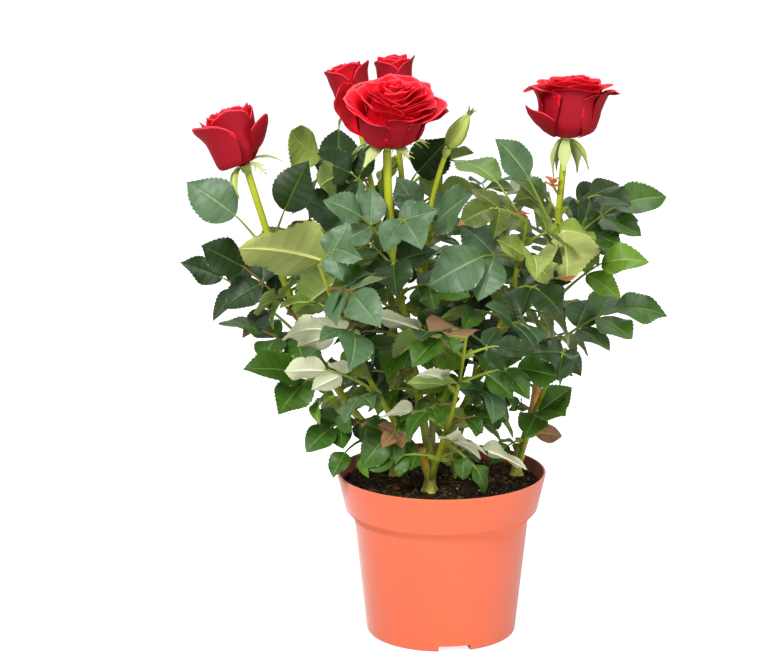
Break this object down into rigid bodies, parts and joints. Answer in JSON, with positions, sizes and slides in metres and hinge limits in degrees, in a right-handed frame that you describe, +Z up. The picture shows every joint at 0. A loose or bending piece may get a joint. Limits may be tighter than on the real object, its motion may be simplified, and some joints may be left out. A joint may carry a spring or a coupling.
{
  "type": "potted rose bush",
  "caption": "Bushy rose plant with compound leaves, open and half-open red blooms and a green bud, growing in a tapered terracotta-coloured plastic pot.",
  "frame": {"origin": "centre of the pot's flat underside, where it stands", "axes": "+Z straight up; -Y towards the side with the drain notch that the bush is mostly looked at from; +X to the right of that view"},
  "size_m": [0.2989, 0.2495, 0.3586],
  "materials": {
    "pot_plastic": "satin moulded plastic, terracotta orange",
    "potting_mix": "moist peat with fibres and crumbs",
    "crown_bark": "young woody bark, yellow-brown",
    "cane_bark": "green cane with brown nodes and thorns",
    "green_stem": "soft green flower stalk and sepals",
    "leaf": "semi-gloss leaf, paler and matt below",
    "petal": "velvety deep red petal",
    "bud_green": "closed green bud"
  },
  "bodies": {
    "root": {"pot": "pot_plastic", "potting_mix": "potting_mix", "crown_front": "crown_bark", "crown_right": "crown_bark", "crown_left": "crown_bark", "crown_back": "crown_bark", "cane_tall_front": "cane_bark", "cane_wide_front": "cane_bark", "cane_budding": "cane_bark", "cane_tall_right": "cane_bark", "cane_tall_left": "cane_bark", "cane_tall_middle": "cane_bark", "cane_tall_back": "cane_bark", "cane_low_left": "cane_bark", "cane_low_right": "cane_bark", "cane_back_right": "cane_bark", "cane_back_left": "cane_bark", "cane_far_back": "cane_bark", "cane_low_front": "cane_bark", "cane_front_left": "cane_bark", "flower_stem_tall_front": "green_stem", "open_bloom": "petal", "flower_stem_budding": "green_stem", "green_bud": "bud_green", "flower_stem_tall_right": "green_stem", "side_bloom": "petal", "flower_stem_tall_left": "green_stem", "leaning_bloom": "petal", "flower_stem_tall_middle": "green_stem", "cupped_bloom": "petal", "flower_stem_tall_back": "green_stem", "narrow_bloom": "petal", "shoot_tall_front": "leaf", "shoot_wide_front": "leaf", "shoot_budding": "leaf", "shoot_tall_right": "leaf", "shoot_tall_left": "leaf", "shoot_tall_middle": "leaf", "shoot_tall_back": "leaf", "shoot_low_left": "leaf", "shoot_low_right": "leaf", "shoot_back_right": "leaf", "shoot_back_left": "leaf", "shoot_far_back": "leaf", "shoot_low_front": "leaf", "shoot_front_left": "leaf"}
  },
  "joints": []
}
